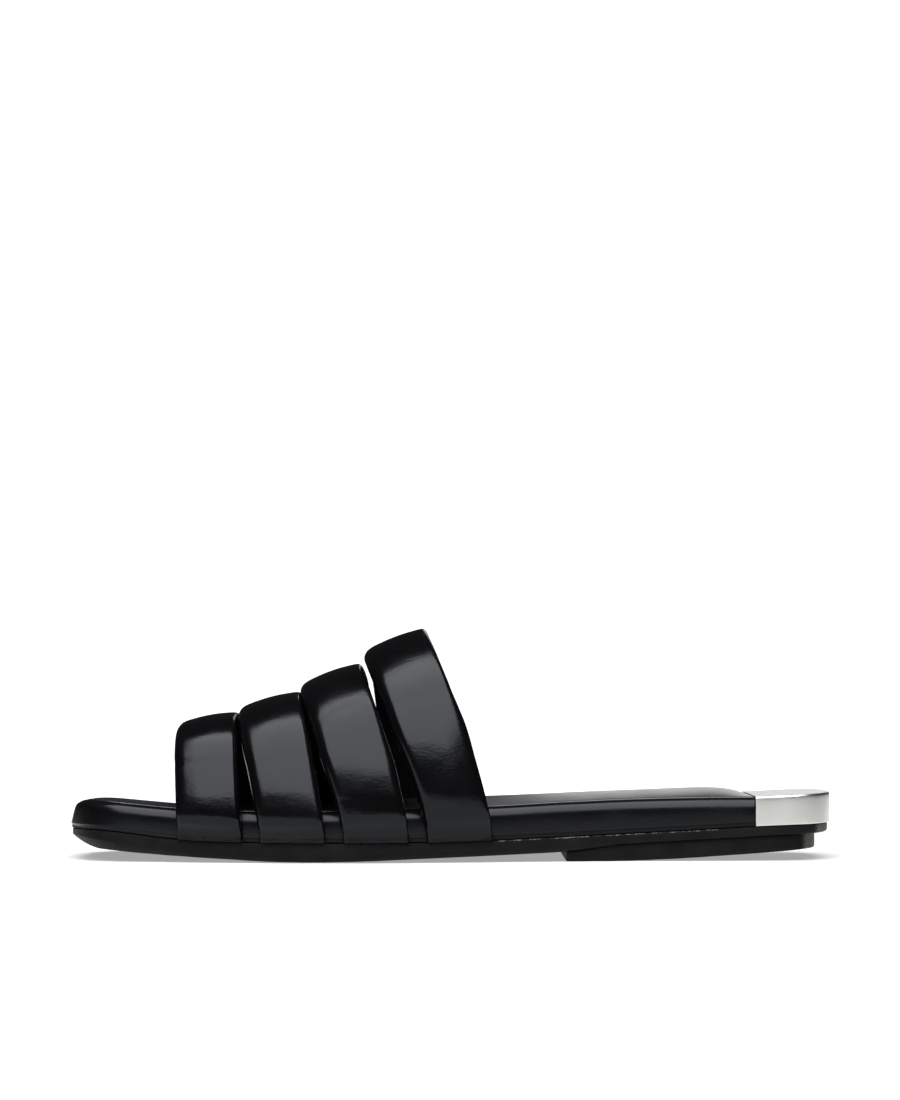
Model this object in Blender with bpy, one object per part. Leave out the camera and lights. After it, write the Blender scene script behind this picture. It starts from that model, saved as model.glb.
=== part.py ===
"""Open-toe slide sandal, left shoe, standing empty on its sole.

Lengths are metres. The toe points along -X, the lateral side is -Y, the medial side is +Y, and Z = 0 is the
floor. Stations along the shoe are measured back from the toe tip, and at the end everything is moved so that
its box is centred over the origin. All pieces are lofted from one table of sections, so they follow each other.
"""

import math
from collections import namedtuple

import bmesh
import bpy
from mathutils import Vector

# Driving sizes of the last and the bottom
LENGTH = 0.257
BALL_WIDTH = 0.086
INSTEP_HEIGHT = 0.0765
TOE_SPRING = 0.0046
SEAT_RISE = 0.0059
TOE_TWIST = 0.0020

# Outsole and heel lift
SOLE_THICKNESS = 0.0064
SOLE_OUTSET = 0.0008
SOLE_TOE_SETBACK = 0.0013
SOLE_REAR_SETBACK = 0.0012
SOLE_EDGE_ROLL = 0.0026
SOLE_ROLL_FULLNESS = 1.5
LIFT_LENGTH = 0.086
LIFT_REAR_SETBACK = 0.0038
LIFT_SIDE_INSET = 0.0012
LIFT_FLAT_LENGTH = 0.0175
LIFT_REAR_RISE = 0.0043

# Padded footbed and the sock laid into its top
BED_THICKNESS = 0.0113
BED_SHOULDER = 0.0038
TOE_WALL_LEAN = 0.4
RAND_HEIGHT = 0.0013
RAND_GROOVE = 0.0004
SOCK_MARGIN = 0.0043
SOCK_DEPTH = 0.0016
SOCK_CROWN = 0.0022
SOCK_EDGE_ROLL = 0.0008

# Metal heel cap
CAP_LENGTH = 0.0270
CAP_WALL = 0.0012
CAP_PROUD = 0.0004
CAP_EDGE_RADIUS = 0.0009

# Straps
STRAP_WIDTH = 0.0215
STRAP_GAP = 0.0059
STRAP_PAD = 0.0052
STRAP_TAB = 0.0020
STRAP_FRONT_ROLL = 0.0030
STRAP_REAR_ROLL = 0.0019
STRAP_LINING_ROLL = 0.0005
STRAP_CROWN = 0.0006
PAD_START_DROP = 0.0075
PAD_RUN_IN = 0.0048
FIRST_STRAP_FOOT = 0.0391
FIRST_STRAP_CREST = 0.0366
LEAN_POWER = 1.3

# Fit between neighbours
CLEARANCE = 0.0003

# Corners of the plan: how far each runs along the shoe, and how square each side of it is
TOE_CORNER = 0.0160
HEEL_CORNER = 0.0140
TOE_SQUARENESS = (2.3, 2.9)
HEEL_SQUARENESS = (2.6, 2.6)

# Fineness of the facets
ROW_SPACING = 0.0075
CORNER_STEPS = 6
ROLL_STEPS = 3
TAB_STEPS = 6
ARCH_STEPS = 10
WELD_DISTANCE = 0.000001
SHARP_ANGLE = math.radians(35)

LATERAL, MEDIAL = -1, 1

# Sections from toe to heel. "at" is a share of LENGTH, lateral and medial are shares of BALL_WIDTH.
# toe_top and toe_low are shares of TOE_SPRING and seat_top and seat_low of SEAT_RISE: how far the top and
# the bottom of the outsole stand above where they lie at the ball. twist is a share of TOE_TWIST, bed of
# BED_THICKNESS, toe_in of BED_SHOULDER, crown of SOCK_CROWN, and roll_in and roll_up of SOLE_EDGE_ROLL.
Section = namedtuple(
    "Section",
    "at lateral medial toe_top seat_top toe_low seat_low twist bed toe_in crown roll_in roll_up",
)
SECTIONS = [
    Section(0.000, 0.345, 0.420, 1.00, 0.00, 1.08, 0.00, 1.00, 0.86, 0.75, 0.20, 5.60, 1.66),
    Section(0.040, 0.376, 0.441, 0.94, 0.00, 0.93, 0.00, 1.00, 0.86, 0.40, 0.22, 3.50, 1.40),
    Section(0.082, 0.404, 0.459, 0.71, 0.00, 0.73, 0.00, 1.00, 0.87, 0.00, 0.25, 1.90, 1.12),
    Section(0.147, 0.440, 0.480, 0.27, 0.00, 0.45, 0.00, 0.95, 0.91, 0.00, 0.28, 1.20, 1.00),
    Section(0.202, 0.465, 0.492, 0.08, 0.00, 0.25, 0.00, 0.45, 0.91, 0.00, 0.35, 1.00, 1.00),
    Section(0.295, 0.495, 0.500, 0.00, 0.00, 0.00, 0.00, 0.00, 0.91, 0.00, 0.50, 1.00, 1.00),
    Section(0.372, 0.502, 0.486, 0.00, 0.00, 0.00, 0.00, 0.00, 0.93, 0.00, 0.62, 1.00, 1.00),
    Section(0.430, 0.494, 0.458, 0.00, 0.01, 0.00, 0.10, 0.00, 0.98, 0.00, 0.75, 1.00, 1.00),
    Section(0.496, 0.468, 0.413, 0.00, 0.04, 0.00, 0.22, 0.00, 1.00, 0.00, 0.90, 1.00, 0.90),
    Section(0.558, 0.434, 0.370, 0.00, 0.12, 0.00, 0.33, 0.00, 1.00, 0.00, 0.95, 0.90, 0.80),
    Section(0.647, 0.388, 0.328, 0.00, 0.28, 0.00, 0.52, 0.00, 1.02, 0.00, 0.90, 0.60, 0.50),
    Section(0.721, 0.359, 0.314, 0.00, 0.43, 0.00, 0.94, 0.00, 1.01, 0.00, 0.90, 0.40, 0.35),
    Section(0.798, 0.342, 0.316, 0.00, 0.59, 0.00, 1.12, 0.00, 0.97, 0.00, 1.05, 0.35, 0.30),
    Section(0.850, 0.335, 0.321, 0.00, 0.71, 0.00, 1.25, 0.00, 0.92, 0.00, 1.15, 0.35, 0.30),
    Section(0.874, 0.332, 0.323, 0.00, 0.77, 0.00, 1.31, 0.00, 0.89, 0.00, 0.85, 0.35, 0.30),
    Section(0.895, 0.330, 0.325, 0.00, 0.82, 0.00, 1.37, 0.00, 0.87, 0.00, 0.00, 0.35, 0.30),
    Section(1.000, 0.322, 0.324, 0.00, 1.00, 0.00, 1.58, 0.00, 0.88, 0.00, 0.00, 0.35, 0.30),
]

# Straps from the toe back. gap_ahead is the room in front of the strap at its crest, width the band's width
# there as a share of STRAP_WIDTH, height its front edge there as a share of INSTEP_HEIGHT, and pitch its
# slope there in degrees. ridge is the crest's place towards the medial side as a share of BALL_WIDTH, and
# advance how far the medial foot lies ahead of the lateral one as a share of STRAP_GAP: the bands fan out
# towards the lateral side. spring is the height over the footbed's edge at which the side starts to arch,
# lean its inward tilt there in degrees, and side_pull and crest_pull say how full the arch is, as shares of
# its height and half width.
Strap = namedtuple(
    "Strap", "name gap_ahead width height pitch ridge advance spring lean side_pull crest_pull"
)
STRAPS = [
    Strap("strap_1_toe", 0.0000, 0.925, 0.606, 9.0, 0.010, 0.00, -0.0030, 14.5, 0.86, 0.74),
    Strap("strap_2_ball", 0.0007, 0.985, 0.663, 15.0, 0.020, 0.90, -0.0030, 13.0, 0.80, 0.68),
    Strap("strap_3_waist", 0.0005, 0.995, 0.762, 21.0, 0.035, 1.85, -0.0010, 5.5, 0.70, 0.60),
    Strap("strap_4_instep", 0.0017, 1.055, 0.910, 22.0, 0.045, 2.62, 0.0035, 0.5, 0.62, 0.56),
]

BLACK_LEATHER = ("black_leather", (0.012, 0.012, 0.014), 0.32, 0.0)
SOLE_LEATHER = ("dark_sole_leather", (0.014, 0.013, 0.012), 0.62, 0.0)
SILVER_METAL = ("polished_metal", (0.78, 0.77, 0.75), 0.18, 1.0)


def smooth_line(column):
    """A monotone cubic curve through one column of the sections, as a function of the station."""
    xs = [row.at * LENGTH for row in SECTIONS]
    ys = [getattr(row, column) for row in SECTIONS]
    slopes = [(b - a) / (d - c) for a, b, c, d in zip(ys, ys[1:], xs, xs[1:])]
    tangents = [slopes[0]]
    for before, after in zip(slopes, slopes[1:]):
        level = before * after <= 0
        tangents.append(0.0 if level else 2 * before * after / (before + after))
    tangents.append(slopes[-1])

    def value(x):
        x = min(max(x, xs[0]), xs[-1])
        i = max(k for k in range(len(xs) - 1) if xs[k] <= x)
        span = xs[i + 1] - xs[i]
        t = (x - xs[i]) / span
        rise = t * t * (3 - 2 * t)
        leaving = span * tangents[i] * t * (1 - t) ** 2
        arriving = span * tangents[i + 1] * t * t * (1 - t)
        return ys[i] * (1 - rise) + ys[i + 1] * rise + leaving - arriving

    return value


LINE = {column: smooth_line(column) for column in Section._fields[1:]}


def half_width(side, x):
    """Distance from the shoe's axis to the footbed's wall on one side."""
    return BALL_WIDTH * LINE["lateral" if side == LATERAL else "medial"](x)


def feather(x):
    """Height of the outsole's top face."""
    return SOLE_THICKNESS + TOE_SPRING * LINE["toe_top"](x) + SEAT_RISE * LINE["seat_top"](x)


def bed_seat(x):
    """Height of the underside of what stands on the outsole: footbed, cap and strap ends."""
    return feather(x) + CLEARANCE


def twisted(point):
    """The forefoot is twisted a little: the medial side of the toe lies lower than the lateral one."""
    across = (point.y + BALL_WIDTH / 2) / BALL_WIDTH
    return Vector((point.x, point.y, point.z - TOE_TWIST * LINE["twist"](point.x) * across))


def sole_under(x):
    """Height of the outsole's bottom face, flat on the floor at the ball."""
    return TOE_SPRING * LINE["toe_low"](x) + SEAT_RISE * LINE["seat_low"](x)


def bed_top(x):
    """Height of the footbed's top edge."""
    return feather(x) + BED_THICKNESS * LINE["bed"](x)


def sock_floor(x):
    """Height of the recess in the footbed that takes the sock."""
    return bed_top(x) - SOCK_DEPTH


def sock_top(x, share):
    """Height of the sock at a share of the way from its middle to its edge."""
    return bed_top(x) + SOCK_CROWN * LINE["crown"](x) * (1 - share**2.5)


def cap_top(x):
    """Height of the metal cap's top face."""
    return bed_top(x) + CAP_PROUD


def core_top(x):
    """Height of the footbed's narrower core under the cap."""
    return cap_top(x) - CAP_WALL - CLEARANCE


def lift_breast():
    """Station of the heel lift's front face."""
    return LENGTH - LIFT_REAR_SETBACK - LIFT_LENGTH


def lift_under(x):
    """Height of the heel lift's bottom: a flat spot behind the breast, then a slow rise to the rear."""
    past = (x - lift_breast() - LIFT_FLAT_LENGTH) / (LIFT_LENGTH - LIFT_FLAT_LENGTH)
    return LIFT_REAR_RISE * max(0.0, past) ** 1.4


# A mark on the plan: its station, the station of the spine point that its section is drawn in towards, and
# how far each side reaches there, as a share of its half width
Mark = namedtuple("Mark", "x spine_x lateral medial")

# One point of a half section: how far in from the wall, the share of the way out from the spine, and height
Ring = namedtuple("Ring", "inset share height")


def corner_marks(tip, corner, squareness):
    """Marks around one end of a plan, from its tip inwards. corner is negative at the heel."""
    marks = []
    for k in range(CORNER_STEPS):
        angle = math.radians(90 * k / CORNER_STEPS)
        run = 1 - math.cos(angle) ** (4 / sum(squareness))
        spread = [math.sin(angle) ** (2 / power) for power in squareness]
        marks.append(Mark(tip + corner * run, tip + corner, *spread))
    return marks


def toe_marks(tip):
    return corner_marks(tip, TOE_CORNER, TOE_SQUARENESS)


def heel_marks(tip):
    return corner_marks(tip, -HEEL_CORNER, HEEL_SQUARENESS)[::-1]


def side_marks(first, last):
    """Marks along the sides, at both ends, at each section of the table between them, and in between."""
    margin = ROW_SPACING / 4
    sections = [row.at * LENGTH for row in SECTIONS]
    stops = [first] + [x for x in sections if first + margin < x < last - margin] + [last]
    stations = []
    for start, end in zip(stops, stops[1:]):
        steps = math.ceil((end - start) / ROW_SPACING)
        stations += [start + (end - start) * k / steps for k in range(steps)]
    return [Mark(x, x, 1.0, 1.0) for x in stations + [last]]


def middle(x):
    """The line halfway between the two sides."""
    return (half_width(MEDIAL, x) - half_width(LATERAL, x)) / 2


def half_section(side, mark, rings):
    """One side of a section across the shoe, as points from the first ring to the last."""
    reach = (half_width(MEDIAL, mark.x) + half_width(LATERAL, mark.x)) / 2
    spread = mark.medial if side == MEDIAL else mark.lateral
    edge = Vector((mark.x, middle(mark.x) + side * reach * spread))
    spine = Vector((mark.spine_x, middle(mark.spine_x)))
    points = []
    for ring in rings:
        inset = ring.inset(mark.x) if callable(ring.inset) else ring.inset
        at = spine.lerp(edge, ring.share * (1 - inset / (edge - spine).length))
        points.append(Vector((at.x, at.y, ring.height(at.x))))
    return points


def closed_sections(marks, rings):
    """Sections of a solid piece: rings run from the middle of its bottom to the middle of its top."""
    rows = []
    for mark in marks:
        rows.append(half_section(LATERAL, mark, rings) + half_section(MEDIAL, mark, rings)[::-1])
    return rows


def shell_sections(marks, outer, inner):
    """Sections of a lid: both lists of rings run from the lower edge to the middle of the top."""
    rows = []
    for mark in marks:
        over = half_section(LATERAL, mark, outer) + half_section(MEDIAL, mark, outer)[::-1]
        under = half_section(MEDIAL, mark, inner) + half_section(LATERAL, mark, inner)[::-1]
        rows.append(over + under)
    return rows


def material(look):
    name, colour, roughness, metallic = look
    if name in bpy.data.materials:
        return bpy.data.materials[name]
    made = bpy.data.materials.new(name)
    made.use_nodes = True
    shader = made.node_tree.nodes["Principled BSDF"]
    shader.inputs["Base Color"].default_value = (*colour, 1)
    shader.inputs["Roughness"].default_value = roughness
    shader.inputs["Metallic"].default_value = metallic
    made.diffuse_color = (*colour, 1)
    return made


def loft(name, rows, look, parts):
    """Joins closed rows of points into one solid. An end row that has a width is closed with a face."""
    shape = bmesh.new()
    loops = [[shape.verts.new(twisted(point)) for point in row] for row in rows]
    for row, following in zip(loops, loops[1:]):
        for k in range(len(row)):
            shape.faces.new((row[k - 1], row[k], following[k], following[k - 1]))
    for row in (loops[0], loops[-1]):
        across = [vert.co.y for vert in row]
        if max(across) - min(across) > WELD_DISTANCE:
            shape.faces.new(row)
    bmesh.ops.remove_doubles(shape, verts=shape.verts, dist=WELD_DISTANCE)
    bmesh.ops.dissolve_degenerate(shape, dist=WELD_DISTANCE, edges=shape.edges)
    bmesh.ops.recalc_face_normals(shape, faces=shape.faces)
    mesh = bpy.data.meshes.new(name)
    shape.to_mesh(mesh)
    shape.free()
    mesh.shade_smooth()
    mesh.set_sharp_from_angle(angle=SHARP_ANGLE)
    mesh.materials.append(material(look))
    piece = bpy.data.objects.new(name, mesh)
    parts.objects.link(piece)
    return piece


def make_outsole(parts):
    first, last = SOLE_TOE_SETBACK, LENGTH - SOLE_REAR_SETBACK
    marks = toe_marks(first) + side_marks(first + TOE_CORNER, last - HEEL_CORNER) + heel_marks(last)

    def roll_in(x):
        return SOLE_EDGE_ROLL * LINE["roll_in"](x)

    def roll_up(x):
        return SOLE_EDGE_ROLL * LINE["roll_up"](x)

    bottom = [Ring(lambda x: roll_in(x) - SOLE_OUTSET, share, sole_under) for share in (0.0, 0.6)]
    power = 2 / SOLE_ROLL_FULLNESS
    edge = []
    for k in range(ROLL_STEPS + 1):
        angle = math.radians(90 * k / ROLL_STEPS)
        inwards = 1 - math.sin(angle) ** power
        upwards = 1 - max(math.cos(angle), 0.0) ** power
        edge.append(
            Ring(
                lambda x, share=inwards: roll_in(x) * share - SOLE_OUTSET,
                1.0,
                lambda x, share=upwards: sole_under(x) + roll_up(x) * share,
            )
        )
    top = [Ring(-SOLE_OUTSET, share, feather) for share in (1.0, 0.6, 0.0)]
    return loft("outsole", closed_sections(marks, bottom + edge + top), SOLE_LEATHER, parts)


def make_heel_lift(parts):
    first, last = lift_breast(), LENGTH - LIFT_REAR_SETBACK
    marks = side_marks(first, first + LIFT_FLAT_LENGTH)
    marks += side_marks(first + LIFT_FLAT_LENGTH, last - HEEL_CORNER)[1:] + heel_marks(last)

    def top(x):
        return sole_under(x) - CLEARANCE

    rings = [Ring(LIFT_SIDE_INSET, share, lift_under) for share in (0.0, 0.6, 1.0)]
    rings += [Ring(LIFT_SIDE_INSET, share, top) for share in (1.0, 0.6, 0.0)]
    return loft("heel_lift", closed_sections(marks, rings), SOLE_LEATHER, parts)


def cap_line():
    """Station of the heel cap's front edge."""
    return LENGTH - CAP_LENGTH


def toe_in(x):
    """How much further in the footbed's upper edge stands at the toe, whose wall leans back."""
    return BED_SHOULDER * LINE["toe_in"](x)


def sock_line(x):
    """Inset of the recess for the sock from the footbed's wall."""
    return SOCK_MARGIN + toe_in(x)


def shoulder(inset, radius, top, lean=0.0):
    """Rings around a rounded upper edge, from the wall at an inset to the flat of the top.

    lean is the share of toe_in by which the top of the wall already stands in, and inset may be a function.
    """
    rings = []
    for k in range(ROLL_STEPS + 1):
        angle = math.radians(90 * k / ROLL_STEPS)
        run = 1 - math.cos(angle)
        rings.append(
            Ring(
                lambda x, run=run: inset + radius * run + toe_in(x) * (lean + (1 - lean) * run),
                1.0,
                lambda x, a=angle: top(x) - radius * (1 - math.sin(a)),
            )
        )
    return rings


def make_footbed(parts):
    """The padded board: a full section up to the cap, then a narrower core that the cap sits over."""

    def rand_top(x):
        return bed_seat(x) + RAND_HEIGHT

    padded = [Ring(RAND_GROOVE, share, bed_seat) for share in (0.0, 0.6, 1.0)]
    padded += [Ring(RAND_GROOVE, 1.0, rand_top), Ring(0.0, 1.0, rand_top)]
    padded += shoulder(0.0, BED_SHOULDER, bed_top, TOE_WALL_LEAN)
    padded += [Ring(sock_line, 1.0, bed_top)]
    padded += [Ring(sock_line, share, sock_floor) for share in (1.0, 0.6, 0.0)]

    wall = CAP_WALL - CAP_PROUD + CLEARANCE
    core = [Ring(wall, share, bed_seat) for share in (0.0, 0.6, 1.0)]
    core += [Ring(wall, 1.0, rand_top), Ring(wall, 1.0, rand_top)]
    core += shoulder(wall, CAP_EDGE_RADIUS, core_top)
    core += [Ring(SOCK_MARGIN, share, core_top) for share in (1.0, 1.0, 0.6, 0.0)]

    ahead = toe_marks(0.0) + side_marks(TOE_CORNER, cap_line())
    behind = side_marks(cap_line(), LENGTH - HEEL_CORNER) + heel_marks(LENGTH)
    rows = closed_sections(ahead, padded) + closed_sections(behind, core)
    return loft("footbed", rows, BLACK_LEATHER, parts)


def make_sock(parts):
    """The crowned sheet in the footbed's top, with a soft edge."""
    marks = toe_marks(0.0) + side_marks(TOE_CORNER, cap_line() - CLEARANCE)

    def edge(x):
        return sock_line(x) + CLEARANCE

    def shelf(x):
        return edge(x) + SOCK_EDGE_ROLL

    def underside(x):
        return sock_floor(x) + CLEARANCE

    rings = [Ring(edge, share, underside) for share in (0.0, 0.6, 1.0)]
    rings += shoulder(SOCK_MARGIN + CLEARANCE, SOCK_EDGE_ROLL, bed_top, 1.0)
    for share in (0.92, 0.78, 0.55, 0.28, 0.0):
        rings.append(Ring(shelf, share, lambda x, s=share: sock_top(x, s)))
    return loft("insole_sock", closed_sections(marks, rings), BLACK_LEATHER, parts)


def make_heel_cap(parts):
    """A lid of sheet metal, open at the front and below."""
    marks = side_marks(cap_line() + CLEARANCE, LENGTH - HEEL_CORNER) + heel_marks(LENGTH)

    def ceiling(x):
        return cap_top(x) - CAP_WALL

    outer = [Ring(-CAP_PROUD, 1.0, bed_seat)]
    outer += shoulder(-CAP_PROUD, CAP_EDGE_RADIUS, cap_top)
    outer += [Ring(CAP_EDGE_RADIUS - CAP_PROUD, share, cap_top) for share in (0.6, 0.0)]
    inside = CAP_WALL - CAP_PROUD
    inner = [Ring(inside, 1.0, bed_seat)]
    inner += [Ring(inside, share, ceiling) for share in (1.0, 0.6, 0.0)]
    return loft("heel_cap", shell_sections(marks, outer, inner), SILVER_METAL, parts)


def strap_foot(order, strap, side, share):
    """Station of the strap's end on one side, at a share of its width from the front edge."""
    x = FIRST_STRAP_FOOT + order * (STRAP_WIDTH + STRAP_GAP) + share * STRAP_WIDTH
    return x - strap.advance * STRAP_GAP if side == MEDIAL else x


def strap_crest(order, strap, share):
    """The lining's point at the top of the arch, at a share of the width from the front edge."""
    front = FIRST_STRAP_CREST
    for ahead, following in zip(STRAPS[:order], STRAPS[1:]):
        width = ahead.width * STRAP_WIDTH
        front += width * math.cos(math.radians(ahead.pitch)) + following.gap_ahead
    slope = math.radians(strap.pitch)
    back = share * strap.width * STRAP_WIDTH
    x = front + back * math.cos(slope) + STRAP_PAD * math.sin(slope)
    z = strap.height * INSTEP_HEIGHT + back * math.sin(slope) - STRAP_PAD * math.cos(slope)
    return Vector((x, strap.ridge * BALL_WIDTH, z))


def lining_point(order, strap, side, climb, share):
    """A point of the strap's inner face.

    climb runs from 0 at the outsole to 1 at the spring line, where the arch begins, and to 2 at the crest.
    The face leans forward as it rises, more steeply towards the top.
    """
    foot = strap_foot(order, strap, side, share)
    crest = strap_crest(order, strap, share)
    seat = bed_seat(foot)
    spring = bed_top(foot) + strap.spring

    def forward(z):
        rise = (z - seat) / (crest.z - seat)
        return foot + (crest.x - foot) * rise**LEAN_POWER

    if climb <= 1:
        z = seat + (spring - seat) * climb
        return Vector((forward(z), side * (half_width(side, forward(z)) + CLEARANCE), z))
    height = crest.z - spring
    wall = side * (half_width(side, forward(spring)) + CLEARANCE)
    lean_in = side * math.tan(math.radians(strap.lean)) * strap.side_pull * height
    start = Vector((wall, spring))
    side_handle = Vector((wall - lean_in, spring + strap.side_pull * height))
    crest_handle = Vector((crest.y + (wall - crest.y) * strap.crest_pull, crest.z))
    top = Vector((crest.y, crest.z))
    t = climb - 1
    y, z = (
        start * (1 - t) ** 3
        + side_handle * 3 * t * (1 - t) ** 2
        + crest_handle * 3 * t * t * (1 - t)
        + top * t**3
    )
    return Vector((forward(z), y, z))


def strap_thickness(order, strap, side, point):
    """The flat tab against the footbed's wall swells to the full pad above the footbed's edge."""
    swell = (point.z - bed_top(point.x) + PAD_START_DROP) / PAD_RUN_IN
    swell = min(max(swell, 0.0), 1.0)
    return STRAP_TAB + (STRAP_PAD - STRAP_TAB) * swell * swell * (3 - 2 * swell)


def band_section(thickness):
    """The band's cross-section, as (distance from the front edge, height over the lining) points."""
    front = min(STRAP_FRONT_ROLL, 0.6 * thickness)
    rear = min(STRAP_REAR_ROLL, 0.6 * thickness)
    lip = min(STRAP_LINING_ROLL, 0.25 * thickness)
    crown = STRAP_CROWN * (thickness - STRAP_TAB) / (STRAP_PAD - STRAP_TAB)
    points = [(lip, 0.0), (STRAP_WIDTH / 2, 0.0), (STRAP_WIDTH - lip, 0.0), (STRAP_WIDTH, lip)]
    for k in range(ROLL_STEPS + 1):
        angle = math.radians(90 * k / ROLL_STEPS)
        points.append(
            (STRAP_WIDTH - rear * (1 - math.cos(angle)), thickness - rear * (1 - math.sin(angle)))
        )
    for along in (0.72, 0.5, 0.28):
        across = front + along * (STRAP_WIDTH - front - rear)
        points.append((across, thickness + 4 * crown * along * (1 - along)))
    for k in range(ROLL_STEPS + 1):
        angle = math.radians(90 - 90 * k / ROLL_STEPS)
        points.append((front * (1 - math.cos(angle)), thickness - front * (1 - math.sin(angle))))
    points.append((0.0, lip))
    return points


def make_strap(order, strap, parts):
    """One padded band: its section carried from the lateral end over the arch to the medial end."""
    climbs = [k / TAB_STEPS for k in range(TAB_STEPS)]
    climbs += [1 + k / ARCH_STEPS for k in range(ARCH_STEPS)]
    path = [(LATERAL, climb) for climb in climbs] + [(LATERAL, 2.0)]
    path += [(MEDIAL, climb) for climb in reversed(climbs)]
    step = 0.02
    rows = []
    for k, (side, climb) in enumerate(path):
        before, after = path[max(k - 1, 0)], path[min(k + 1, len(path) - 1)]
        thickness = strap_thickness(order, strap, side, lining_point(order, strap, side, climb, 0.5))
        row = []
        for across, height in band_section(thickness):
            share = across / STRAP_WIDTH
            base = lining_point(order, strap, side, climb, share)
            along = lining_point(order, strap, *after, share) - lining_point(order, strap, *before, share)
            sideways = lining_point(order, strap, side, climb, share + step) - base
            row.append(base + sideways.cross(along).normalized() * height)
        rows.append(row)
    return loft(strap.name, rows, BLACK_LEATHER, parts)


def centre_on_origin(pieces):
    """Moves the pieces together, so that their common box stands centred over the origin."""
    corners = [vert.co for piece in pieces for vert in piece.data.vertices]
    middle_x = (min(c.x for c in corners) + max(c.x for c in corners)) / 2
    middle_y = (min(c.y for c in corners) + max(c.y for c in corners)) / 2
    for piece in pieces:
        piece.location = (-middle_x, -middle_y, 0.0)


def main():
    for obj in list(bpy.data.objects):
        bpy.data.objects.remove(obj)
    parts = bpy.data.collections.new("open_toe_slide")
    bpy.context.scene.collection.children.link(parts)
    pieces = [
        make_outsole(parts),
        make_heel_lift(parts),
        make_footbed(parts),
        make_sock(parts),
        make_heel_cap(parts),
    ]
    pieces += [make_strap(order, strap, parts) for order, strap in enumerate(STRAPS)]
    centre_on_origin(pieces)


main()
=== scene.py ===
"""Open-toe slide sandal, left shoe.

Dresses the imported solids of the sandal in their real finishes: four padded bands of polished calf, a
leather-wrapped footbed with its sock, a leather outsole with a low stacked heel, and a metal heel cap.
Sizes are in metres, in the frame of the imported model: toe towards -X, lateral side towards -Y, and the floor
at Z = 0.
"""

import math
from collections import namedtuple

import bpy
from bpy.props import FloatProperty, PointerProperty, StringProperty
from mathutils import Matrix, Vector, noise


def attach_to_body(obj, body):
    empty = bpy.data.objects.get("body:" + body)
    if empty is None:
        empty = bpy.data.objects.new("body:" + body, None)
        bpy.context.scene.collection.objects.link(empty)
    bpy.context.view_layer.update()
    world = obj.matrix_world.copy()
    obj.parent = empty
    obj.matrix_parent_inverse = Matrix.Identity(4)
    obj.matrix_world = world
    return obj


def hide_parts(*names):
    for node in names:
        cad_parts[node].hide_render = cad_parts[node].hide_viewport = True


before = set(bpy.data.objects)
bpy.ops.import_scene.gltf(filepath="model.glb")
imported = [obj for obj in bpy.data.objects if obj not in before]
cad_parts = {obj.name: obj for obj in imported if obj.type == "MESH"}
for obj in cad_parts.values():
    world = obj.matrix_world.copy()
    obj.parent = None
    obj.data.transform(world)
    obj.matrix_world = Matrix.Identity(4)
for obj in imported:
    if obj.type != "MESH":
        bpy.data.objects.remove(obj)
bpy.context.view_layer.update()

bl_info = {
    "name": "Open-toe slide sandal",
    "version": (1, 0, 0),
    "blender": (4, 5, 0),
    "location": "View3D > Sidebar > Sandal",
    "description": "Builds the finished pieces of an open-toe slide around its packed solids",
    "category": "Object",
}

MM = 0.001
STRAP_NODES = ("strap_1_toe", "strap_2_ball", "strap_3_waist", "strap_4_instep")


# Settings that a user would change


class UpperSettings(bpy.types.PropertyGroup):
    colour: StringProperty(name="Colour", description="Dye of the bands, as sRGB hex", default="060607")
    lining: StringProperty(name="Lining", description="Dye of the lining, as sRGB hex", default="0A0A0B")
    roughness: FloatProperty(
        name="Roughness",
        description="Roughness of the polished face",
        default=0.18,
        min=0,
        max=1,
        subtype="FACTOR",
    )
    grain: FloatProperty(
        name="Grain", description="Width of a grain cell", default=0.75 * MM, min=0.2 * MM, unit="LENGTH"
    )
    grain_depth: FloatProperty(
        name="Grain depth", description="Depth of the grain", default=0.024 * MM, min=0, unit="LENGTH"
    )
    softness: FloatProperty(
        name="Softness",
        description="Height of the soft unevenness of the padding",
        default=0.09 * MM,
        unit="LENGTH",
    )
    plumpness: FloatProperty(
        name="Plumpness",
        description="How far the foam lifts the outer leather",
        default=0.45 * MM,
        unit="LENGTH",
    )


class FootbedSettings(bpy.types.PropertyGroup):
    colour: StringProperty(
        name="Colour", description="Dye of the footbed leather, as sRGB hex", default="070708"
    )
    roughness: FloatProperty(
        name="Roughness",
        description="Roughness of the footbed leather",
        default=0.25,
        min=0,
        max=1,
        subtype="FACTOR",
    )
    sock_roughness: FloatProperty(
        name="Sock roughness",
        description="Roughness of the sock leather",
        default=0.33,
        min=0,
        max=1,
        subtype="FACTOR",
    )
    grain: FloatProperty(
        name="Grain", description="Width of a grain cell", default=0.8 * MM, min=0.2 * MM, unit="LENGTH"
    )


class SoleSettings(bpy.types.PropertyGroup):
    colour: StringProperty(
        name="Colour", description="Dressing of the sole's edge, as sRGB hex", default="060606"
    )
    roughness: FloatProperty(
        name="Roughness",
        description="Roughness of the sole's edge",
        default=0.55,
        min=0,
        max=1,
        subtype="FACTOR",
    )
    fibre: FloatProperty(
        name="Fibre", description="Spacing of the fibres in the cut edge", default=0.5 * MM, unit="LENGTH"
    )


class CapSettings(bpy.types.PropertyGroup):
    colour: StringProperty(name="Colour", description="Colour of the plating, as sRGB hex", default="D8D8D5")
    roughness: FloatProperty(
        name="Roughness",
        description="Roughness of the brushed plating",
        default=0.3,
        min=0,
        max=1,
        subtype="FACTOR",
    )


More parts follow.
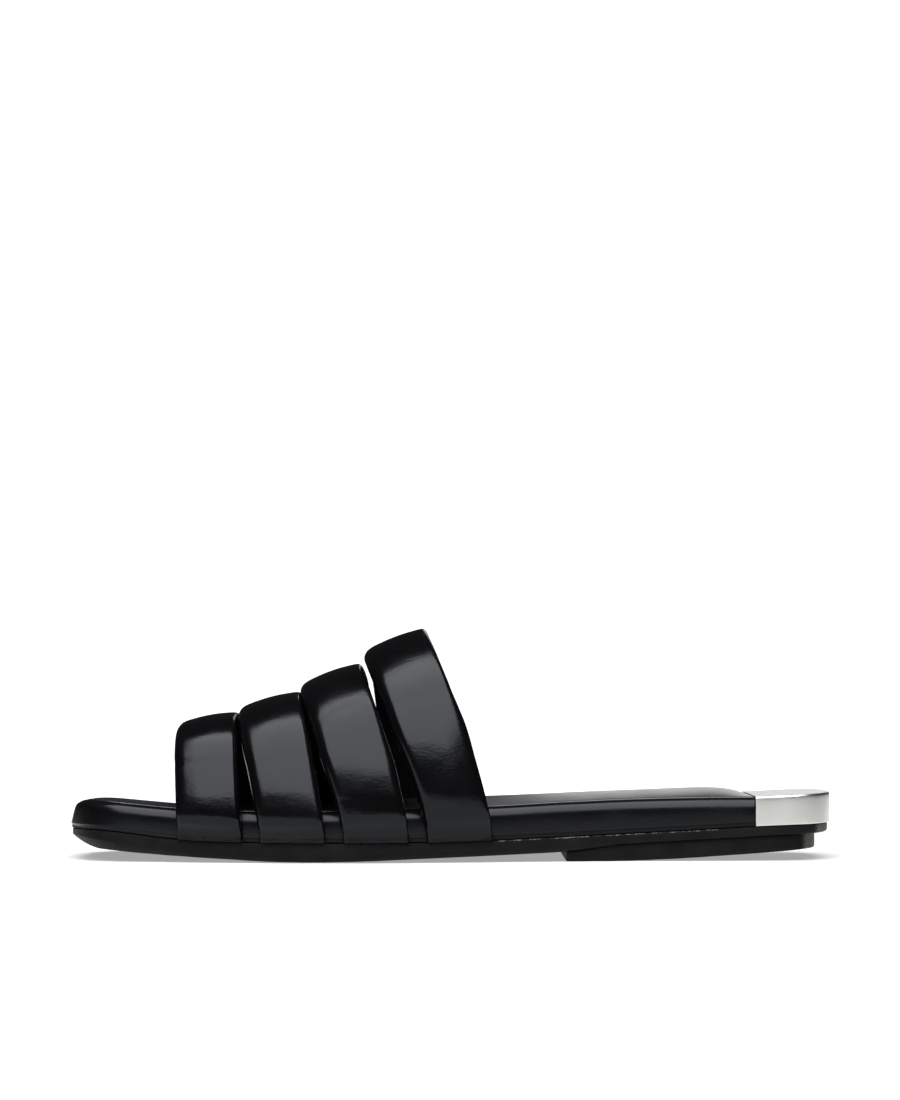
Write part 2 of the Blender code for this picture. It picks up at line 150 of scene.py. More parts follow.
class StudioSettings(bpy.types.PropertyGroup):
    floor: StringProperty(name="Floor", description="Colour of the table, as sRGB hex", default="C6C6C5")
    softbox: FloatProperty(
        name="Softbox", description="Power of the large softbox", default=58.0, unit="POWER"
    )
    camera_distance: FloatProperty(
        name="Camera distance", description="From the lens to the shoe's middle", default=1.2, unit="LENGTH"
    )
    camera_height: FloatProperty(
        name="Camera height", description="Of the lens above the floor", default=0.0608, unit="LENGTH"
    )
    camera_tilt: FloatProperty(
        name="Camera tilt",
        description="Of the lens above level",
        default=math.radians(2.08),
        unit="ROTATION",
    )
    camera_lens: FloatProperty(name="Lens", description="Focal length in millimetres", default=115.2)


# Materials


def dye(code):
    """Linear colour of an sRGB hex value."""
    parts = [int(code[k : k + 2], 16) / 255 for k in (0, 2, 4)]
    return tuple(c / 12.92 if c <= 0.04045 else ((c + 0.055) / 1.055) ** 2.4 for c in parts) + (1.0,)


def add(tree, kind, values=None, links=None, **options):
    """Adds a node with its options, constants for its sockets, and links into its sockets."""
    made = tree.nodes.new(kind)
    for name, value in options.items():
        setattr(made, name, value)
    for socket, value in (values or {}).items():
        made.inputs[socket].default_value = value
    for socket, source in (links or {}).items():
        tree.links.new(source, made.inputs[socket])
    return made


def new_material(name):
    """An empty material, and its node tree."""
    made = bpy.data.materials.new(name)
    made.use_nodes = True
    made.node_tree.nodes.clear()
    return made, made.node_tree


def close_material(tree, shader):
    """Leads the shader to the material's output."""
    add(tree, "ShaderNodeOutputMaterial", links={"Surface": shader.outputs[0]})


# Black polish gives the leather a slightly cool shine
COOL_POLISH = (0.88, 0.93, 1.0, 1.0)

# The grain is drawn out along the shoe, and the iron leaves clouds of more and of less polish
GRAIN_DRAWN = (0.55, 1, 1)
POLISH_CLOUD = 14 * MM

# How much rougher the leather is where it is turned in and never polished
UNPOLISHED = 0.4


def calf_leather(name, colour, roughness, grain, depth, level, finish=0.0):
    """Box calf: a chrome-tanned skin with a tight, fine grain, pigmented black and ironed to a polish.

    The iron flattens the grain, so the gloss is smooth and only a faint grain breaks it up. The cells of real
    box calf are about 0.3 mm wide; they are drawn wider, so that the render shows them. The finish is how
    much of the skin a clear lacquer covers.
    """
    material, tree = new_material(name)
    where = add(tree, "ShaderNodeTexCoord").outputs["Object"]
    drawn = add(tree, "ShaderNodeMapping", {"Scale": GRAIN_DRAWN}, {"Vector": where}).outputs[0]
    cells = add(
        tree,
        "ShaderNodeTexVoronoi",
        {"Scale": 1 / grain, "Randomness": 1.0},
        {"Vector": drawn},
        feature="SMOOTH_F1",
    )
    pores = add(
        tree,
        "ShaderNodeTexNoise",
        {"Scale": 0.6 / grain, "Detail": 5.0, "Roughness": 0.62},
        {"Vector": drawn},
    )
    cloud = add(tree, "ShaderNodeTexNoise", {"Scale": 1 / POLISH_CLOUD, "Detail": 3.0}, {"Vector": where})
    grained = add(
        tree, "ShaderNodeBump", {"Strength": 0.5, "Distance": depth}, {"Height": cells.outputs["Distance"]}
    )
    relief = add(
        tree,
        "ShaderNodeBump",
        {"Strength": 0.8, "Distance": depth * 2.2},
        {"Height": pores.outputs[0], "Normal": grained.outputs[0]},
    )
    gloss = add(
        tree,
        "ShaderNodeMapRange",
        {"From Min": 0.3, "From Max": 0.7, "To Min": roughness - 0.04, "To Max": roughness + 0.05},
        {"Value": cloud.outputs[0]},
    )
    dull = add(tree, "ShaderNodeAttribute", attribute_name="unpolished").outputs["Fac"]
    roughened = add(
        tree, "ShaderNodeMath", {1: UNPOLISHED}, {0: dull, 2: gloss.outputs[0]}, operation="MULTIPLY_ADD"
    )
    tint = add(
        tree,
        "ShaderNodeMapRange",
        {"From Min": 0.3, "From Max": 0.7, "To Min": 0.85, "To Max": 1.15},
        {"Value": pores.outputs[0]},
    )
    skin = add(
        tree, "ShaderNodeVectorMath", {0: dye(colour)[:3]}, {"Scale": tint.outputs[0]}, operation="SCALE"
    )
    shader = add(
        tree,
        "ShaderNodeBsdfPrincipled",
        {
            "IOR": 1.5,
            "Specular IOR Level": level,
            "Specular Tint": COOL_POLISH,
            "Coat Weight": finish,
            "Coat Roughness": 0.3,
            "Coat IOR": 1.4,
        },
        {
            "Base Color": skin.outputs[0],
            "Roughness": roughened.outputs[0],
            "Normal": relief.outputs[0],
            "Coat Normal": relief.outputs[0],
        },
    )
    close_material(tree, shader)
    return material


# What the sole's edge shows besides its black ink: brown where the ink is worn, the rubber of the top piece,
# raw leather, and dust
WORN_INK, RUBBER, RAW_LEATHER, DUST = "12100F", "0C0C0C", "6A6762", "8F8C86"

# The fibres lie along the edge, and the sanding belt leaves grit marks; the ink wears off in patches
FIBRES_LAID = (0.12, 0.5, 1)
GRIT, WORN_PATCH = 0.6 * MM, 9 * MM

# Width of a crumb of dust, and of the places where crumbs gather
CRUMB, DUST_PATCH = 0.4 * MM, 1.8 * MM

# The seam holds all its dust down to the first depth below the upper edge, and none below the second
SEAM_DUST = (0.2 * MM, 0.6 * MM)

# The rubber top piece reaches from the floor to the first height, and is gone at the second
TOP_PIECE = (1.1 * MM, 1.25 * MM)


def edge_dressed_leather(name, colour, roughness, fibre):
    """Vegetable-tanned sole leather, cut, sanded and dressed with black edge ink.

    The sanded edge stays a little rough, with fibres along it, and the ink is worn to brown in places.
    """
    material, tree = new_material(name)
    where = add(tree, "ShaderNodeTexCoord").outputs["Object"]
    laid = add(tree, "ShaderNodeMapping", {"Scale": FIBRES_LAID}, {"Vector": where}).outputs[0]
    fibres = add(
        tree, "ShaderNodeTexNoise", {"Scale": 1 / fibre, "Detail": 6.0, "Roughness": 0.7}, {"Vector": laid}
    )
    grit = add(tree, "ShaderNodeTexNoise", {"Scale": 1 / GRIT, "Detail": 4.0}, {"Vector": where})
    worn = add(tree, "ShaderNodeTexNoise", {"Scale": 1 / WORN_PATCH, "Detail": 5.0}, {"Vector": where})
    mixed = add(
        tree,
        "ShaderNodeMix",
        {"Factor": 0.5},
        {"A": fibres.outputs[0], "B": grit.outputs[0]},
        data_type="FLOAT",
    )
    relief = add(
        tree, "ShaderNodeBump", {"Strength": 0.8, "Distance": 0.2 * MM}, {"Height": mixed.outputs[0]}
    )
    rough = add(
        tree,
        "ShaderNodeMapRange",
        {"From Min": 0.3, "From Max": 0.7, "To Min": roughness - 0.08, "To Max": roughness + 0.1},
        {"Value": grit.outputs[0]},
    )
    wear = add(
        tree,
        "ShaderNodeMapRange",
        {"From Min": 0.4, "From Max": 0.65, "To Min": 0.0, "To Max": 0.8},
        {"Value": worn.outputs[0]},
    )
    ink = add(
        tree,
        "ShaderNodeMix",
        {"A": dye(colour), "B": dye(WORN_INK)},
        {"Factor": wear.outputs[0]},
        data_type="RGBA",
    )
    # The heel stands on a thin top piece of rubber, greyer than the dressed leather
    over_floor = add(tree, "ShaderNodeAttribute", attribute_name="above_bottom").outputs["Fac"]
    rubber = add(
        tree,
        "ShaderNodeMapRange",
        {"From Min": TOP_PIECE[1], "From Max": TOP_PIECE[0], "To Max": 0.8},
        {"Value": over_floor},
    )
    layered = add(
        tree,
        "ShaderNodeMix",
        {"B": dye(RUBBER)},
        {"A": ink.outputs[2], "Factor": rubber.outputs[0]},
        data_type="RGBA",
    )
    # The cut faces at the back of the heel are left raw and pale
    raw = add(tree, "ShaderNodeAttribute", attribute_name="raw").outputs["Fac"]
    torn = add(
        tree,
        "ShaderNodeMapRange",
        {"From Min": 0.38, "From Max": 0.62, "To Min": 0.1, "To Max": 0.9},
        {"Value": grit.outputs[0]},
    )
    cut = add(tree, "ShaderNodeMath", links={0: raw, 1: torn.outputs[0]}, operation="MULTIPLY")
    bared = add(
        tree,
        "ShaderNodeMix",
        {"B": dye(RAW_LEATHER)},
        {"A": layered.outputs[2], "Factor": cut.outputs[0]},
        data_type="RGBA",
    )
    # Dried cement and dust caught in the seam: crumbs of half a millimetre and less, thick in some places
    seam = add(
        tree,
        "ShaderNodeMapRange",
        {"From Min": SEAM_DUST[1], "From Max": SEAM_DUST[0]},
        {"Value": add(tree, "ShaderNodeAttribute", attribute_name="below_top").outputs["Fac"]},
    )
    held = add(tree, "ShaderNodeAttribute", attribute_name="dusty").outputs["Fac"]
    crumbs = add(
        tree,
        "ShaderNodeTexNoise",
        {"Scale": 1 / CRUMB, "Detail": 2.0, "Roughness": 0.7},
        {"Vector": where},
    )
    patches = add(tree, "ShaderNodeTexNoise", {"Scale": 1 / DUST_PATCH, "Detail": 1.0}, {"Vector": where})
    caught = crumbs.outputs[0]
    for part in (patches.outputs[0], seam.outputs[0], held):
        caught = add(tree, "ShaderNodeMath", links={0: caught, 1: part}, operation="MULTIPLY").outputs[0]
    dust = add(
        tree,
        "ShaderNodeMapRange",
        {"From Min": 0.25, "From Max": 0.32, "To Min": 0.0, "To Max": 0.5},
        {"Value": caught},
    )
    dusted = add(
        tree,
        "ShaderNodeMix",
        {"B": dye(DUST)},
        {"A": bared.outputs[2], "Factor": dust.outputs[0]},
        data_type="RGBA",
    )
    shader = add(
        tree,
        "ShaderNodeBsdfPrincipled",
        {"IOR": 1.5, "Specular IOR Level": 0.12},
        {"Base Color": dusted.outputs[2], "Roughness": rough.outputs[0], "Normal": relief.outputs[0]},
    )
    close_material(tree, shader)
    return material


# The brush leaves fine strokes along the shoe, and the plating clouds of more and of less gloss
BRUSH_DRAWN = (0.03, 0.03, 1)
BRUSH_STROKE, PLATING_CLOUD = 0.8 * MM, 6 * MM


def plated_metal(name, colour, roughness):
    """Pressed brass with a pale nickel plating, brushed along the shoe: bright, with a soft reflection."""
    material, tree = new_material(name)
    where = add(tree, "ShaderNodeTexCoord").outputs["Object"]
    drawn = add(tree, "ShaderNodeMapping", {"Scale": BRUSH_DRAWN}, {"Vector": where}).outputs[0]
    strokes = add(
        tree,
        "ShaderNodeTexNoise",
        {"Scale": 1 / BRUSH_STROKE, "Detail": 2.0, "Roughness": 0.5},
        {"Vector": drawn},
    )
    cloud = add(tree, "ShaderNodeTexNoise", {"Scale": 1 / PLATING_CLOUD, "Detail": 3.0}, {"Vector": where})
    relief = add(
        tree, "ShaderNodeBump", {"Strength": 0.2, "Distance": 0.01 * MM}, {"Height": strokes.outputs[0]}
    )
    gloss = add(
        tree,
        "ShaderNodeMapRange",
        {"From Min": 0.3, "From Max": 0.7, "To Min": roughness - 0.03, "To Max": roughness + 0.04},
        {"Value": cloud.outputs[0]},
    )
    shader = add(
        tree,
        "ShaderNodeBsdfPrincipled",
        {"Base Color": dye(colour), "Metallic": 1.0},
        {"Roughness": gloss.outputs[0], "Normal": relief.outputs[0]},
    )
    close_material(tree, shader)
    return material


# The glow of the light table changes between these two distances behind the shoe's middle
TABLE_FADE = (0.1, 0.8)


def opal_acrylic(name, colour, glow, far_glow=None):
    """The opal acrylic of a light table, and the matt paper around it: pale, and lit a little from behind.

    Where a far glow is given, the glow changes to it at the far end.
    """
    material, tree = new_material(name)
    where = add(tree, "ShaderNodeTexCoord").outputs["Object"]
    cloud = add(tree, "ShaderNodeTexNoise", {"Scale": 3.0, "Detail": 2.0}, {"Vector": where})
    rough = add(tree, "ShaderNodeMapRange", {"To Min": 0.75, "To Max": 0.85}, {"Value": cloud.outputs[0]})
    shader = add(
        tree,
        "ShaderNodeBsdfPrincipled",
        {
            "Base Color": dye(colour),
            "Specular IOR Level": 0.1,
            "Emission Color": dye("FFFFFF"),
            "Emission Strength": glow,
        },
        {"Roughness": rough.outputs[0]},
    )
    if far_glow is not None:
        depth = add(tree, "ShaderNodeSeparateXYZ", links={"Vector": where}).outputs["Y"]
        lit = add(
            tree,
            "ShaderNodeMapRange",
            {"From Min": TABLE_FADE[0], "From Max": TABLE_FADE[1], "To Min": glow, "To Max": far_glow},
            {"Value": depth},
        )
        tree.links.new(lit.outputs[0], shader.inputs["Emission Strength"])
    close_material(tree, shader)
    return material


# Shaping tools

# Faces that meet at less than this angle are shaded as one surface, in degrees
SMOOTH_ANGLE = 60


def share(value):
    """A value held between 0 and 1."""
    return min(max(value, 0.0), 1.0)


def bell(distance, width):
    """A soft hump: 1 at no distance, fading out over the width."""
    return math.exp(-((distance / width) ** 2))


def select_only(piece):
    bpy.ops.object.select_all(action="DESELECT")
    piece.select_set(True)
    bpy.context.view_layer.objects.active = piece


def copy_of(node, name):
    """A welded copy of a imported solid, as a piece of its own."""
    select_only(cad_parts[node])
    bpy.ops.object.duplicate()
    piece = bpy.context.view_layer.objects.active
    piece.name = piece.data.name = name
    piece.parent = None
    for key in list(piece.keys()):
        del piece[key]
    piece.data.materials.clear()
    bpy.ops.object.mode_set(mode="EDIT")
    bpy.ops.mesh.select_all(action="SELECT")
    bpy.ops.mesh.remove_doubles(threshold=0.001 * MM)
    bpy.ops.mesh.tris_convert_to_quads(face_threshold=math.pi, shape_threshold=math.pi)
    bpy.ops.object.mode_set(mode="OBJECT")
    return piece


def finish_with(piece, kind, **settings):
    """Adds a modifier with its settings, and applies it."""
    select_only(piece)
    modifier = piece.modifiers.new(kind.title(), kind)
    for name, value in settings.items():
        setattr(modifier, name, value)
    bpy.ops.object.modifier_apply(modifier=modifier.name)


def soften_edges(piece, radius, angle):
    """Rounds the edges that turn by more than the angle, in degrees."""
    finish_with(
        piece,
        "BEVEL",
        width=radius,
        segments=2,
        limit_method="ANGLE",
        angle_limit=math.radians(angle),
        use_clamp_overlap=True,
    )


def refine(piece, levels):
    """Makes the surface flow smoothly through the solid's points."""
    finish_with(piece, "SUBSURF", levels=levels, render_levels=levels)


def smooth(piece):
    select_only(piece)
    bpy.ops.object.shade_smooth_by_angle(angle=math.radians(SMOOTH_ANGLE))


def push(piece, relief):
    """Moves each point along its normal by what relief says there, as a sculptor's brush would."""
    mesh = piece.data
    moves = [point.normal * relief(point.co, point.normal) for point in mesh.vertices]
    for point, move in zip(mesh.vertices, moves):
        point.co += move
    mesh.update()


def mark(piece, name, amount):
    """Paints each point of a piece with an amount, for its material to read."""
    values = [amount(point.co) for point in piece.data.vertices]
    piece.data.attributes.new(name, "FLOAT", "POINT").data.foreach_set("value", values)


def edge_line(piece, furthest):
    """The height of a piece's upper (max) or lower (min) edge, as a function of the place along the shoe."""
    step = 2 * MM
    heights = {}
    for point in piece.data.vertices:
        k = round(point.co.x / step)
        heights[k] = furthest(heights.get(k, point.co.z), point.co.z)

    def at(x):
        k = math.floor(x / step)
        near = heights.get(k, heights.get(k + 1, 0.0))
        return near + (heights.get(k + 1, near) - near) * (x / step - k)

    return at


def attach(piece, node):
    """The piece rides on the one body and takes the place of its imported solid."""
    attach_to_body(piece, "root")
    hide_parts(node)


# The bands

# A crease on the lateral side of a band, seen from that side: both ends in millimetres along and above the
# floor, the width of its trough, its depth (below nothing for a swelling), and the height of the soft ridge
# that it pushes up above itself
Crease = namedtuple("Crease", "start end width depth ridge")

CREASES = {
    "strap_1_toe": (Crease((-89.0, 32.4), (-70.0, 33.0), 1.3, 0.08, 0.08),),
    "strap_2_ball": (Crease((-66.0, 31.0), (-50.0, 35.0), 2.2, 0.10, 0.06),),
    "strap_3_waist": (
        Crease((-44.5, 45.2), (-34.0, 50.6), 1.2, 0.11, 0.05),
        Crease((-36.5, 20.9), (-32.0, 20.9), 0.5, 0.10, 0.04),
        Crease((-42.0, 34.0), (-18.0, 32.0), 7.0, -0.40, 0.0),
    ),
    "strap_4_instep": (
        Crease((-20.0, 51.0), (-4.0, 55.0), 2.6, 0.10, 0.08),
        Crease((-15.0, 43.0), (6.0, 44.5), 8.0, -0.55, 0.0),
    ),
}

# How far the leather reaches past the foam: at a band's crown, ahead of its front edge and behind its rear
# edge, and on the medial side, where the bands almost touch, past both edges
Reach = namedtuple("Reach", "front rear medial")

REACHES = {
    "strap_1_toe": Reach(0.3 * MM, 1.0 * MM, 1.5 * MM),
    "strap_2_ball": Reach(0.8 * MM, 1.0 * MM, 1.4 * MM),
    "strap_3_waist": Reach(1.3 * MM, 0.7 * MM, 0.7 * MM),
    "strap_4_instep": Reach(1.5 * MM, -0.3 * MM, 0.1 * MM),
}

# How far to the medial side of the shoe's middle the medial reach is full, and the crown's reach is gone
MEDIAL_FULL, CROWN_GONE = 24 * MM, 25 * MM

# How wide and how deep the outer face rolls off towards the edges of a band
ROLL_WIDTH, ROLL_DEPTH = 3.6 * MM, 0.55 * MM

# The foam starts to swell this far above a band's lower end, and is full after the same again
SWELL = 8 * MM

# Widths of the soft lumps of the padding, and how high the smaller ones are beside the larger ones
LUMP, SMALL_LUMP, SMALL_SHARE = 11 * MM, 4.5 * MM, 0.35

# The lining is on the faces that look at least this much into the shoe: -1 would be straight into it
INWARD = -0.5

# In widths of a crease's trough: how far above it its ridge lies, how wide the ridge is, and how far both run
# out past the crease's ends
RIDGE_PLACE, RIDGE_WIDTH, CREASE_FADE = 1.6, 1.3, 2.5


def crease_relief(crease, point):
    """How far a crease moves a point out, in metres."""
    if point.y > 0:
        return 0.0
    start, end = Vector(crease.start) * MM, Vector(crease.end) * MM
    run = end - start
    here = Vector((point.x, point.z)) - start
    along = here.dot(run) / run.length_squared
    across = here.dot(Vector((-run.y, run.x)).normalized())
    beyond = max(0.0, -along, along - 1.0) * run.length
    width = crease.width * MM
    ridge = crease.ridge * bell(across - RIDGE_PLACE * width, RIDGE_WIDTH * width)
    return bell(beyond, CREASE_FADE * width) * MM * (ridge - crease.depth * bell(across, width))


def band_edges(piece):
    """Where the front and the rear edge of a band lie, as a function of a point's angle around the arch."""
    points = [point.co for point in piece.data.vertices]
    low = min(point.z for point in points)
    steps = 90
    fronts, rears = [1.0] * steps, [-1.0] * steps

    def turn(point):
        return math.atan2(point.z - low, -point.y) / math.pi * (steps - 1)

    for point in points:
        k = min(max(round(turn(point)), 0), steps - 1)
        fronts[k], rears[k] = min(fronts[k], point.x), max(rears[k], point.x)

    def at(line, point):
        place = min(max(turn(point), 0.0), steps - 1.001)
        k = int(place)
        return line[k] + (line[k + 1] - line[k]) * (place - k)

    return lambda point: (at(fronts, point), at(rears, point))


def build_strap(node, settings, outer, lining):
    piece = copy_of(node, node + "_leather")
    soften_edges(piece, radius=0.4 * MM, angle=50)
    refine(piece, 3)
    points = piece.data.vertices
    low = min(point.co.z for point in points)
    high = max(point.co.z for point in points)
    edges = band_edges(piece)
    reach = REACHES[node]
    seed = Vector((7.0 * STRAP_NODES.index(node), 3.0, 1.0))

    def relief(point, normal):
        lumps = noise.noise(point / LUMP + seed) + SMALL_SHARE * noise.noise(point / SMALL_LUMP + seed)
        out = max(0.0, normal.dot(Vector((0.0, point.y, point.z - low)).normalized()))
        front, rear = edges(point)
        rolled = max(0.0, 1 - min(point.x - front, rear - point.x) / ROLL_WIDTH) ** 2
        full = out * share((point.z - low - SWELL) / SWELL) * (settings.plumpness - ROLL_DEPTH * rolled)
        return full + settings.softness * lumps + sum(crease_relief(c, point) for c in CREASES[node])

    def reach_at(point):
        front, rear = edges(point)
        across = share((point.x - front) / max(rear - front, MM))
        inner = share(point.y / MEDIAL_FULL)
        inner *= inner * (3 - 2 * inner)
        crown = (point.z - low) / (high - low) * (1 - share(point.y / CROWN_GONE))
        back = inner * reach.medial + crown * reach.rear
        ahead = inner * reach.medial + crown * reach.front
        return across * back - (1 - across) * ahead

    reaches = [reach_at(point.co) for point in points]
    push(piece, relief)
    for point, along in zip(points, reaches):
        point.co.x += along
    piece.data.materials.append(outer)
    piece.data.materials.append(lining)
    for face in piece.data.polygons:
        out = Vector((face.center.y, face.center.z - low))
        if out.length > 0 and Vector((face.normal.y, face.normal.z)).dot(out.normalized()) < INWARD:
            face.material_index = 1
    smooth(piece)
    attach(piece, node)


class SANDAL_OT_straps(bpy.types.Operator):
    """Builds the four padded bands"""

    bl_idname = "sandal.straps"
    bl_label = "Bands"

    def execute(self, context):
        settings = context.scene.sandal_upper
        outer = calf_leather(
            "polished_box_calf",
            settings.colour,
            settings.roughness,
            settings.grain,
            settings.grain_depth,
            level=0.2,
        )
        lining = calf_leather(
            "goatskin_lining", settings.lining, roughness=0.55, grain=0.7 * MM, depth=0.03 * MM, level=0.12
        )
        for node in STRAP_NODES:
            build_strap(node, settings, outer, lining)
        return {"FINISHED"}


# The footbed and its sock

# How far the sock stands out of the footbed, and the height of the rand that is turned in under it
SOCK_RISE, RAND = 0.25 * MM, 1.9 * MM

# Width and height of the faint waves in the leather
BED_WAVE, BED_WAVE_HEIGHT = 14 * MM, 0.05 * MM


class SANDAL_OT_footbed(bpy.types.Operator):
    """Builds the leather-wrapped footbed and the sock in its top"""

    bl_idname = "sandal.footbed"
    bl_label = "Footbed"

    def execute(self, context):
        settings = context.scene.sandal_footbed
        leather = calf_leather(
            "footbed_calf",
            settings.colour,
            settings.roughness,
            settings.grain,
            depth=0.012 * MM,
            level=0.22,
        )
        sock = calf_leather(
            "sock_calf",
            settings.colour,
            settings.sock_roughness,
            settings.grain,
            depth=0.008 * MM,
            level=1.0,
            finish=0.7,
        )
        for node, finish, fill in (("footbed", leather, 0.9), ("insole_sock", sock, 0.6)):
            piece = copy_of(node, node + "_leather")
            soften_edges(piece, radius=0.15 * MM, angle=40)
            refine(piece, 2)
            if node == "insole_sock":
                for point in piece.data.vertices:
                    point.co.z += SOCK_RISE
            else:
                bottom = edge_line(piece, min)
                mark(piece, "unpolished", lambda point: 1.0 if point.z - bottom(point.x) < RAND else 0.0)
            push(piece, lambda point, normal: BED_WAVE_HEIGHT * noise.noise(point / BED_WAVE))
            piece.data.materials.append(finish)
            smooth(piece)
            attach(piece, node)
        return {"FINISHED"}


# The sole

# Dust lies in the outsole's seam between these two stations, and thins out over this length at both
DUST_START, DUST_END, DUST_FADE = 8 * MM, 96 * MM, 8 * MM

# How far the top of the lift is pressed up into the rolled edge of the outsole, and how deep that reaches
LIFT_TUCK, TUCK_DEPTH = 0.4 * MM, 1.0 * MM

# Where the raw rear face of each sole piece begins, and the length over which it shows more and more
RAW_HEEL = {"outsole": 121.5 * MM, "heel_lift": 117.4 * MM}
RAW_FADE = 1.5 * MM

# Width and height of the waves that sanding leaves in the edge
SANDED_WAVE, SANDED_WAVE_HEIGHT = 5 * MM, 0.06 * MM


def dust_share(point):
    """How much dust the seam could hold at a point: most in the waist and the heel."""
    return share(min(point.x - DUST_START, DUST_END - point.x) / DUST_FADE)


class SANDAL_OT_sole(bpy.types.Operator):
    """Builds the outsole and the heel lift"""

    bl_idname = "sandal.sole"
    bl_label = "Sole"

    def execute(self, context):
        settings = context.scene.sandal_sole
        leather = edge_dressed_leather(
            "dressed_sole_leather", settings.colour, settings.roughness, settings.fibre
        )
        for node in ("outsole", "heel_lift"):
            lift = node == "heel_lift"
            piece = copy_of(node, node + "_leather")
            soften_edges(piece, radius=0.25 * MM, angle=40)
            refine(piece, 2)
            push(piece, lambda point, normal: SANDED_WAVE_HEIGHT * noise.noise(point / SANDED_WAVE))
            top, bottom = edge_line(piece, max), edge_line(piece, min)
            if lift:
                for point in piece.data.vertices:
                    below = top(point.co.x) - point.co.z
                    point.co.z += LIFT_TUCK * max(0.0, 1 - below / TUCK_DEPTH)
            mark(piece, "below_top", lambda point: top(point.x) - point.z)
            mark(piece, "above_bottom", lambda point: point.z - bottom(point.x) if lift else 1.0)
            mark(piece, "dusty", lambda point: 0.0 if lift else dust_share(point))
            mark(piece, "raw", lambda point: share((point.x - RAW_HEEL[node]) / RAW_FADE))
            piece.data.materials.append(leather)
            smooth(piece)
            attach(piece, node)
        return {"FINISHED"}


# The metal heel cap


class SANDAL_OT_heel_cap(bpy.types.Operator):
    """Builds the plated metal cap at the heel"""

    bl_idname = "sandal.heel_cap"
    bl_label = "Heel cap"

    def execute(self, context):
        settings = context.scene.sandal_cap
        piece = copy_of("heel_cap", "heel_cap_plated")
        soften_edges(piece, radius=0.08 * MM, angle=40)
        refine(piece, 2)
        plating = plated_metal("brushed_nickel_plating", settings.colour, settings.roughness)
        piece.data.materials.append(plating)
        smooth(piece)
        attach(piece, "heel_cap")
        return {"FINISHED"}


# The stage

# What little light the dark room itself gives
DARK_ROOM = (0.02, 0.02, 0.022, 1)

# Sizes of the round light table and of the white sweep around the studio
TABLE_RADIUS, SWEEP_RADIUS = 1.0, 6.5

# Glow of the table near the shoe and at its far end, of the sweep and of the low backdrop
TABLE_GLOW, TABLE_FAR_GLOW, SWEEP_GLOW, BACKDROP_GLOW = 0.36, 1.0, 1.2, 1.05

# The low backdrop stands behind the heel, where only the polished leather and the cap mirror it: the X of its
# two sides, its Y and its height
BACKDROP_SIDES, BACKDROP_PLACE, BACKDROP_HEIGHT = (0.06, 0.56), 1.8, 0.9

# The softbox hangs over the near side: its lower and its upper edge as (Y, Z), and the X of its two sides
SOFTBOX_LOW, SOFTBOX_HIGH, SOFTBOX_SIDES = (-1.42, 0.68), (0.45, 1.95), (-0.88, 0.62)


def softbox(name, power):
    """A rectangular light that faces the shoe from above and from the near side."""
    left, right = SOFTBOX_SIDES
    low, high = (Vector(((left + right) / 2, *edge)) for edge in (SOFTBOX_LOW, SOFTBOX_HIGH))
    lamp = bpy.data.lights.new(name, "AREA")
    lamp.shape = "RECTANGLE"
    lamp.size, lamp.size_y = right - left, (high - low).length
    lamp.energy = power
    made = bpy.data.objects.new(name, lamp)
    bpy.context.scene.collection.objects.link(made)
    made.location = (low + high) / 2
    behind = Vector((1, 0, 0)).cross(high - low).normalized()
    made.rotation_euler = behind.to_track_quat("Z", "Y").to_euler()


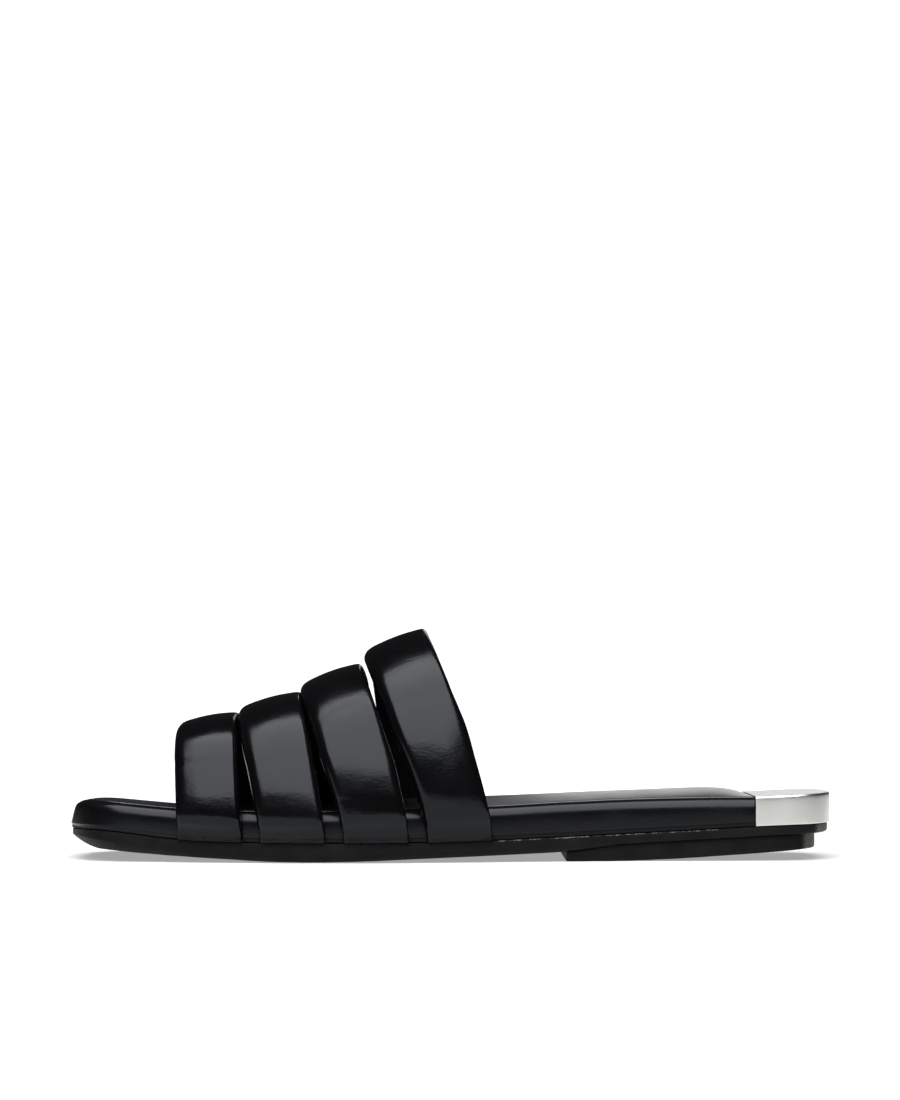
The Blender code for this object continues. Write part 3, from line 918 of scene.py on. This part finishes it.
class SANDAL_OT_studio(bpy.types.Operator):
    """Sets up the table, the lights and the camera"""

    bl_idname = "sandal.studio"
    bl_label = "Studio"

    def execute(self, context):
        scene = context.scene
        settings = scene.sandal_studio
        scene.view_settings.view_transform = "Standard"
        scene.world = bpy.data.worlds.new("Dark studio")
        scene.world.use_nodes = True
        scene.world.node_tree.nodes["Background"].inputs["Color"].default_value = DARK_ROOM

        bpy.ops.object.select_all(action="DESELECT")
        bpy.ops.mesh.primitive_circle_add(vertices=96, radius=TABLE_RADIUS, fill_type="NGON")
        table = context.object
        table.name = "table"
        acrylic = opal_acrylic("opal_acrylic", settings.floor, TABLE_GLOW, TABLE_FAR_GLOW)
        table.data.materials.append(acrylic)

        bpy.ops.mesh.primitive_uv_sphere_add(segments=48, ring_count=24, radius=SWEEP_RADIUS)
        sweep = context.object
        sweep.name = "white_sweep"
        sweep.data.materials.append(opal_acrylic("sweep_paper", "FFFFFF", SWEEP_GLOW))
        sweep.visible_diffuse = sweep.visible_glossy = sweep.visible_shadow = False
        sweep.visible_transmission = sweep.visible_volume_scatter = False

        bpy.ops.mesh.primitive_plane_add(size=1.0)
        backdrop = context.object
        backdrop.name = "low_backdrop"
        left, right = BACKDROP_SIDES
        for corner in backdrop.data.vertices:
            along, up = corner.co.x + 0.5, corner.co.y + 0.5
            corner.co = (left + (right - left) * along, BACKDROP_PLACE, BACKDROP_HEIGHT * up)
        backdrop.data.materials.append(opal_acrylic("backdrop_paper", "101010", BACKDROP_GLOW))
        backdrop.visible_diffuse = backdrop.visible_camera = False

        softbox("front_softbox", settings.softbox)

        camera = bpy.data.cameras.new("Camera")
        camera.lens = settings.camera_lens
        camera.sensor_width = 36.0
        camera.clip_end = 50.0
        eye = bpy.data.objects.new("Camera", camera)
        scene.collection.objects.link(eye)
        eye.location = (0.0, -settings.camera_distance, settings.camera_height)
        eye.rotation_euler = (math.radians(90) + settings.camera_tilt, 0.0, 0.0)
        scene.camera = eye
        return {"FINISHED"}


# The add-on


class SANDAL_PT_sidebar(bpy.types.Panel):
    """Lists the steps that build the sandal"""

    bl_label = "Slide sandal"
    bl_idname = "SANDAL_PT_sidebar"
    bl_space_type = "VIEW_3D"
    bl_region_type = "UI"
    bl_category = "Sandal"

    def draw(self, context):
        for step, group in STEPS:
            box = self.layout.box()
            box.operator(step.bl_idname)
            settings = getattr(context.scene, group)
            for name in settings.__annotations__:
                box.prop(settings, name)


GROUPS = {
    "sandal_upper": UpperSettings,
    "sandal_footbed": FootbedSettings,
    "sandal_sole": SoleSettings,
    "sandal_cap": CapSettings,
    "sandal_studio": StudioSettings,
}
STEPS = (
    (SANDAL_OT_sole, "sandal_sole"),
    (SANDAL_OT_footbed, "sandal_footbed"),
    (SANDAL_OT_heel_cap, "sandal_cap"),
    (SANDAL_OT_straps, "sandal_upper"),
    (SANDAL_OT_studio, "sandal_studio"),
)
CLASSES = (*GROUPS.values(), *(step for step, group in STEPS), SANDAL_PT_sidebar)


def register():
    for made in CLASSES:
        bpy.utils.register_class(made)
    for name, group in GROUPS.items():
        setattr(bpy.types.Scene, name, PointerProperty(type=group))


def unregister():
    for name in GROUPS:
        delattr(bpy.types.Scene, name)
    for made in reversed(CLASSES):
        bpy.utils.unregister_class(made)


def main():
    register()
    for step, group in STEPS:
        family, action = step.bl_idname.split(".")
        getattr(getattr(bpy.ops, family), action)()


if __name__ == "__main__":
    main()
